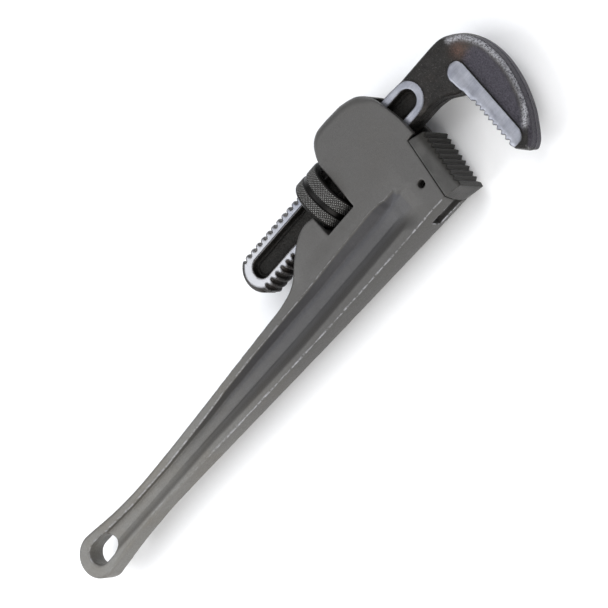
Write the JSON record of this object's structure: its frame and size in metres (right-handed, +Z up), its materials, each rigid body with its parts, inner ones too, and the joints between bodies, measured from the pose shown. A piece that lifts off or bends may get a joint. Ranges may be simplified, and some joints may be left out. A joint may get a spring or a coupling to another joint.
{
  "type": "pipe wrench",
  "caption": "Adjustable pipe wrench with an I-beam handle, toothed heel jaw, screw-threaded hook jaw and knurled adjusting nut.",
  "frame": {"origin": "middle of the underside of the bounding box, the wrench lying on its side with the jaws partly open", "axes": "+X from the handle's end to the jaws, along the handle; +Y from the toothed side of the heel jaw towards the adjusting nut; +Z up, across the wrench's thickness"},
  "size_m": [0.4893, 0.1244, 0.0452],
  "materials": {
    "cast_aluminium": "satin grey painted sand casting with worn ridges",
    "black_oxide_steel": "black oxide, satin",
    "spring_steel": "tempered spring steel",
    "forged_steel": "black forged scale with ground bright faces",
    "nut_steel": "dark diamond knurl, bright on its points"
  },
  "bodies": {
    "handle_body": {"handle": "cast_aluminium", "heel_jaw": "black_oxide_steel", "heel_jaw_pin": "spring_steel", "coil_spring": "spring_steel"},
    "spring_leaf": {"flat_spring": "spring_steel", "spring_rivet": "spring_steel"},
    "hook_jaw_body": {"hook_jaw": "forged_steel"},
    "nut": {"adjusting_nut": "nut_steel"}
  },
  "joints": [
    {"name": "jaw_rock", "type": "hinge", "parent": "handle_body", "child": "spring_leaf", "pos_m": [0.0828, 0.0265, 0.0226], "axis": [0, 0, 1], "range_deg": [-1.5, 0], "stiffness_Nm_per_rad": 40, "springref_deg": 2.29, "deforming": ["coil_spring"]},
    {"name": "nut_spin", "type": "hinge", "parent": "spring_leaf", "child": "nut", "pos_m": [0.0828, 0.0265, 0.0226], "axis": [1, 0, 0], "range_deg": [-2296.5, 1793.8]},
    {"name": "jaw_slide", "type": "slide", "parent": "spring_leaf", "child": "hook_jaw_body", "axis": [1, 0, 0], "range_m": [-0.029, 0.0371]}
  ],
  "couplings": [
    {"joint": "jaw_slide", "follows": "nut_spin", "m_per_rad": -0.0009231}
  ]
}
